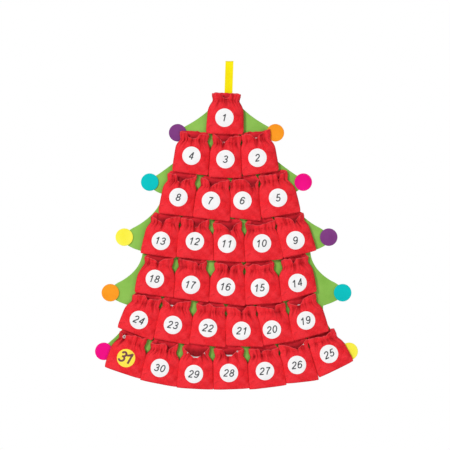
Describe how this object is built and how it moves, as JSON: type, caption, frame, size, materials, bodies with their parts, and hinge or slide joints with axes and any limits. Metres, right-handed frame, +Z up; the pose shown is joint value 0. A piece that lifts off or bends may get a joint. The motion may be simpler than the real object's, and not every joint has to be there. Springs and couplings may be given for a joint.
{
  "type": "wall-hung advent calendar",
  "caption": "Felt fir tree with coloured felt balls, curved rows of gathered cloth gift pouches sewn on by their top hems, and a ribbon loop to hang it from.",
  "frame": {"origin": "the inside of the top of the ribbon loop, where a hook or nail carries the calendar", "axes": "+X to the right of someone who faces the calendar, +Y back into the wall, +Z up"},
  "size_m": [0.6592, 0.0245, 0.8221],
  "materials": {
    "green_felt": "matte pressed felt",
    "ribbon": "satin woven ribbon",
    "pouch_cloth": "matte brushed cotton",
    "elastic": "matte knitted elastic tape",
    "purple_felt": "matte pressed felt",
    "orange_felt": "matte pressed felt",
    "cyan_felt": "matte pressed felt",
    "magenta_felt": "matte pressed felt",
    "yellow_felt": "matte pressed felt"
  },
  "bodies": {
    "loop": {"ribbon_loop": "ribbon"},
    "tree": {"felt_tree": "green_felt", "ribbon_sewn_end": "ribbon", "felt_ball_left_1": "purple_felt", "felt_ball_left_2": "cyan_felt", "felt_ball_left_3": "yellow_felt", "felt_ball_left_4": "orange_felt", "felt_ball_left_5": "magenta_felt", "felt_ball_right_1": "orange_felt", "felt_ball_right_2": "magenta_felt", "felt_ball_right_3": "purple_felt", "felt_ball_right_4": "cyan_felt", "felt_ball_right_5": "yellow_felt"},
    "pouch_01": {"pouch_01": "pouch_cloth"},
    "pouch_02": {"pouch_02": "pouch_cloth", "pouch_02_elastic": "elastic"},
    "pouch_03": {"pouch_03": "pouch_cloth", "pouch_03_elastic": "elastic"},
    "pouch_04": {"pouch_04": "pouch_cloth"},
    "pouch_05": {"pouch_05": "pouch_cloth"},
    "pouch_06": {"pouch_06": "pouch_cloth"},
    "pouch_07": {"pouch_07": "pouch_cloth"},
    "pouch_08": {"pouch_08": "pouch_cloth"},
    "pouch_09": {"pouch_09": "pouch_cloth"},
    "pouch_10": {"pouch_10": "pouch_cloth"},
    "pouch_11": {"pouch_11": "pouch_cloth"},
    "pouch_12": {"pouch_12": "pouch_cloth"},
    "pouch_13": {"pouch_13": "pouch_cloth"},
    "pouch_14": {"pouch_14": "pouch_cloth"},
    "pouch_15": {"pouch_15": "pouch_cloth"},
    "pouch_16": {"pouch_16": "pouch_cloth"},
    "pouch_17": {"pouch_17": "pouch_cloth"},
    "pouch_18": {"pouch_18": "pouch_cloth"},
    "pouch_19": {"pouch_19": "pouch_cloth", "pouch_19_elastic": "elastic"},
    "pouch_20": {"pouch_20": "pouch_cloth"},
    "pouch_21": {"pouch_21": "pouch_cloth"},
    "pouch_22": {"pouch_22": "pouch_cloth"},
    "pouch_23": {"pouch_23": "pouch_cloth", "pouch_23_elastic": "elastic"},
    "pouch_24": {"pouch_24": "pouch_cloth"},
    "pouch_25": {"pouch_25": "pouch_cloth"},
    "pouch_26": {"pouch_26": "pouch_cloth"},
    "pouch_27": {"pouch_27": "pouch_cloth"},
    "pouch_28": {"pouch_28": "pouch_cloth", "pouch_28_elastic": "elastic"},
    "pouch_29": {"pouch_29": "pouch_cloth", "pouch_29_elastic": "elastic"},
    "pouch_30": {"pouch_30": "pouch_cloth"},
    "pouch_31": {"pouch_31": "pouch_cloth", "pouch_31_elastic": "elastic"}
  },
  "joints": [
    {"name": "loop_fold", "type": "hinge", "parent": "loop", "child": "tree", "pos_m": [-0.0026, 0.0026, -0.0804], "axis": [-1, 0, 0], "range_deg": [0, 60]},
    {"name": "pouch_01_lift", "type": "hinge", "parent": "tree", "child": "pouch_01", "pos_m": [-0.00773, 0.0017, -0.08309], "axis": [-0.999, 0, 0.0436], "range_deg": [0, 25]},
    {"name": "pouch_02_lift", "type": "hinge", "parent": "tree", "child": "pouch_02", "pos_m": [0.06664, 0.0032, -0.18033], "axis": [-0.9925, 0, -0.1219], "range_deg": [0, 45]},
    {"name": "pouch_03_lift", "type": "hinge", "parent": "tree", "child": "pouch_03", "pos_m": [-0.00842, 0.0032, -0.18722], "axis": [-0.9997, 0, 0.0262], "range_deg": [0, 15]},
    {"name": "pouch_04_lift", "type": "hinge", "parent": "tree", "child": "pouch_04", "pos_m": [-0.08794, 0.0032, -0.18013], "axis": [-0.9945, 0, 0.1045], "range_deg": [0, 45]},
    {"name": "pouch_05_lift", "type": "hinge", "parent": "tree", "child": "pouch_05", "pos_m": [0.10877, 0.0032, -0.28147], "axis": [-0.9816, 0, -0.1908], "range_deg": [0, 15]},
    {"name": "pouch_06_lift", "type": "hinge", "parent": "tree", "child": "pouch_06", "pos_m": [0.03688, 0.0032, -0.29309], "axis": [-0.9997, 0, -0.0262], "range_deg": [0, 15]},
    {"name": "pouch_07_lift", "type": "hinge", "parent": "tree", "child": "pouch_07", "pos_m": [-0.03531, 0.0032, -0.2957], "axis": [-0.9936, 0, 0.1132], "range_deg": [0, 15]},
    {"name": "pouch_08_lift", "type": "hinge", "parent": "tree", "child": "pouch_08", "pos_m": [-0.11877, 0.0032, -0.28259], "axis": [-0.989, 0, 0.1478], "range_deg": [0, 15]},
    {"name": "pouch_09_lift", "type": "hinge", "parent": "tree", "child": "pouch_09", "pos_m": [0.14933, 0.0032, -0.38571], "axis": [-0.9636, 0, -0.2672], "range_deg": [0, 15]},
    {"name": "pouch_10_lift", "type": "hinge", "parent": "tree", "child": "pouch_10", "pos_m": [0.07578, 0.0032, -0.39949], "axis": [-0.9945, 0, -0.1045], "range_deg": [0, 15]},
    {"name": "pouch_11_lift", "type": "hinge", "parent": "tree", "child": "pouch_11", "pos_m": [-0.00371, 0.0032, -0.40112], "axis": [-0.9994, 0, -0.0349], "range_deg": [0, 15]},
    {"name": "pouch_12_lift", "type": "hinge", "parent": "tree", "child": "pouch_12", "pos_m": [-0.0849, 0.0032, -0.3957], "axis": [-1, 0, 0.0087], "range_deg": [0, 15]},
    {"name": "pouch_13_lift", "type": "hinge", "parent": "tree", "child": "pouch_13", "pos_m": [-0.15976, 0.0032, -0.38708], "axis": [-0.9816, 0, 0.1908], "range_deg": [0, 15]},
    {"name": "pouch_14_lift", "type": "hinge", "parent": "tree", "child": "pouch_14", "pos_m": [0.16163, 0.0032, -0.491], "axis": [-0.9903, 0, -0.1392], "range_deg": [0, 15]},
    {"name": "pouch_15_lift", "type": "hinge", "parent": "tree", "child": "pouch_15", "pos_m": [0.07457, 0.0032, -0.50472], "axis": [-0.9936, 0, -0.1132], "range_deg": [0, 15]},
    {"name": "pouch_16_lift", "type": "hinge", "parent": "tree", "child": "pouch_16", "pos_m": [-0.00125, 0.0032, -0.5052], "axis": [-0.9986, 0, 0.0523], "range_deg": [0, 15]},
    {"name": "pouch_17_lift", "type": "hinge", "parent": "tree", "child": "pouch_17", "pos_m": [-0.09145, 0.0032, -0.49861], "axis": [-0.999, 0, 0.0436], "range_deg": [0, 15]},
    {"name": "pouch_18_lift", "type": "hinge", "parent": "tree", "child": "pouch_18", "pos_m": [-0.17642, 0.0032, -0.49172], "axis": [-0.9903, 0, 0.1392], "range_deg": [0, 15]},
    {"name": "pouch_19_lift", "type": "hinge", "parent": "tree", "child": "pouch_19", "pos_m": [0.18106, 0.0032, -0.5935], "axis": [-0.9703, 0, -0.2419], "range_deg": [0, 15]},
    {"name": "pouch_20_lift", "type": "hinge", "parent": "tree", "child": "pouch_20", "pos_m": [0.10195, 0.0032, -0.61015], "axis": [-0.9744, 0, -0.225], "range_deg": [0, 15]},
    {"name": "pouch_21_lift", "type": "hinge", "parent": "tree", "child": "pouch_21", "pos_m": [0.02928, 0.0032, -0.61344], "axis": [-0.9962, 0, -0.0872], "range_deg": [0, 15]},
    {"name": "pouch_22_lift", "type": "hinge", "parent": "tree", "child": "pouch_22", "pos_m": [-0.04613, 0.0032, -0.60841], "axis": [-0.9954, 0, 0.0958], "range_deg": [0, 15]},
    {"name": "pouch_23_lift", "type": "hinge", "parent": "tree", "child": "pouch_23", "pos_m": [-0.12939, 0.0032, -0.59755], "axis": [-0.989, 0, 0.1478], "range_deg": [0, 15]},
    {"name": "pouch_24_lift", "type": "hinge", "parent": "tree", "child": "pouch_24", "pos_m": [-0.20477, 0.0032, -0.58654], "axis": [-0.9483, 0, 0.3173], "range_deg": [0, 15]},
    {"name": "pouch_25_lift", "type": "hinge", "parent": "tree", "child": "pouch_25", "pos_m": [0.22886, 0.0032, -0.68385], "axis": [-0.8988, 0, -0.4384], "range_deg": [0, 15]},
    {"name": "pouch_26_lift", "type": "hinge", "parent": "tree", "child": "pouch_26", "pos_m": [0.15842, 0.0032, -0.70292], "axis": [-0.9724, 0, -0.2334], "range_deg": [0, 15]},
    {"name": "pouch_27_lift", "type": "hinge", "parent": "tree", "child": "pouch_27", "pos_m": [0.08405, 0.0032, -0.71662], "axis": [-0.9925, 0, -0.1219], "range_deg": [0, 15]},
    {"name": "pouch_28_lift", "type": "hinge", "parent": "tree", "child": "pouch_28", "pos_m": [-0.00099, 0.0032, -0.71831], "axis": [-0.9981, 0, -0.061], "range_deg": [0, 15]},
    {"name": "pouch_29_lift", "type": "hinge", "parent": "tree", "child": "pouch_29", "pos_m": [-0.08301, 0.0032, -0.71412], "axis": [-0.9994, 0, 0.0349], "range_deg": [0, 15]},
    {"name": "pouch_30_lift", "type": "hinge", "parent": "tree", "child": "pouch_30", "pos_m": [-0.16067, 0.0032, -0.70475], "axis": [-0.9863, 0, 0.165], "range_deg": [0, 15]},
    {"name": "pouch_31_lift", "type": "hinge", "parent": "tree", "child": "pouch_31", "pos_m": [-0.23993, 0.0032, -0.68588], "axis": [-0.9588, 0, 0.284], "range_deg": [0, 15]}
  ]
}
